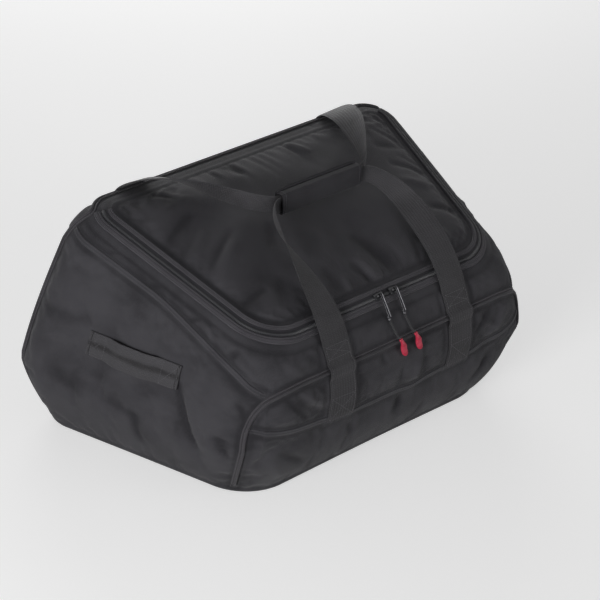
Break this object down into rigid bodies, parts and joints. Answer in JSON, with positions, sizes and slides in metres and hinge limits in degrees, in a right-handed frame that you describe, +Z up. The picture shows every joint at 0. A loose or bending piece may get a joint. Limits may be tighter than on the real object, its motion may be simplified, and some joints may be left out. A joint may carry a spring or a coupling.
{
  "type": "roof box bag",
  "caption": "Soft travel bag, narrower at its front, with a sloping lid closed by a zip round three sides, two carrying straps joined by a sleeve, and a grab handle on each end.",
  "frame": {"origin": "on the floor, under the middle of the bag's box", "axes": "+X along the front, +Y from the narrow front to the wide rear, +Z up"},
  "size_m": [0.7657, 0.4641, 0.4054],
  "materials": {
    "shell_cloth": "woven polyester, matt",
    "welt_cloth": "folded woven polyester",
    "piping": "cloth-covered cord",
    "webbing": "woven polyester webbing",
    "sleeve_cloth": "padded cloth with hook-and-loop edge",
    "zip_tape": "woven tape",
    "zip_coil": "nylon coil",
    "slider_metal": "painted die-cast zinc",
    "pull_steel": "nickel-plated steel sheet",
    "pull_cord": "braided cord",
    "pull_end": "moulded soft plastic, red"
  },
  "bodies": {
    "root": {"bag_body": "shell_cloth", "band_welt": "welt_cloth", "lid_welt": "welt_cloth", "front_piping": "piping", "rear_piping": "piping", "front_strap": "webbing", "rear_strap": "webbing", "grip_wrap": "sleeve_cloth", "grab_handle_left": "webbing", "grab_handle_right": "webbing", "zip_chain": "zip_coil", "zip_tape_band": "zip_tape", "zip_tape_lid": "zip_tape"},
    "slider_left": {"zip_slider_left": "slider_metal"},
    "slider_right": {"zip_slider_right": "slider_metal"},
    "pull_left": {"pull_tab_left": "pull_steel", "pull_cord_left": "pull_cord", "pull_grip_left": "pull_end"},
    "pull_right": {"pull_tab_right": "pull_steel", "pull_cord_right": "pull_cord", "pull_grip_right": "pull_end"}
  },
  "joints": [
    {"name": "slider_left_run", "type": "slide", "parent": "root", "child": "slider_left", "axis": [1, 0, 0], "range_m": [-0.068, 0.006]},
    {"name": "slider_right_run", "type": "slide", "parent": "root", "child": "slider_right", "axis": [1, 0, 0], "range_m": [-0.006, 0.056]},
    {"name": "pull_left_swing", "type": "hinge", "parent": "slider_left", "child": "pull_left", "pos_m": [-0.0155, -0.18454, 0.26867], "axis": [-1, 0, 0], "range_deg": [0, 185]},
    {"name": "pull_right_swing", "type": "hinge", "parent": "slider_right", "child": "pull_right", "pos_m": [0.0155, -0.18454, 0.26867], "axis": [-1, 0, 0], "range_deg": [0, 185]}
  ]
}
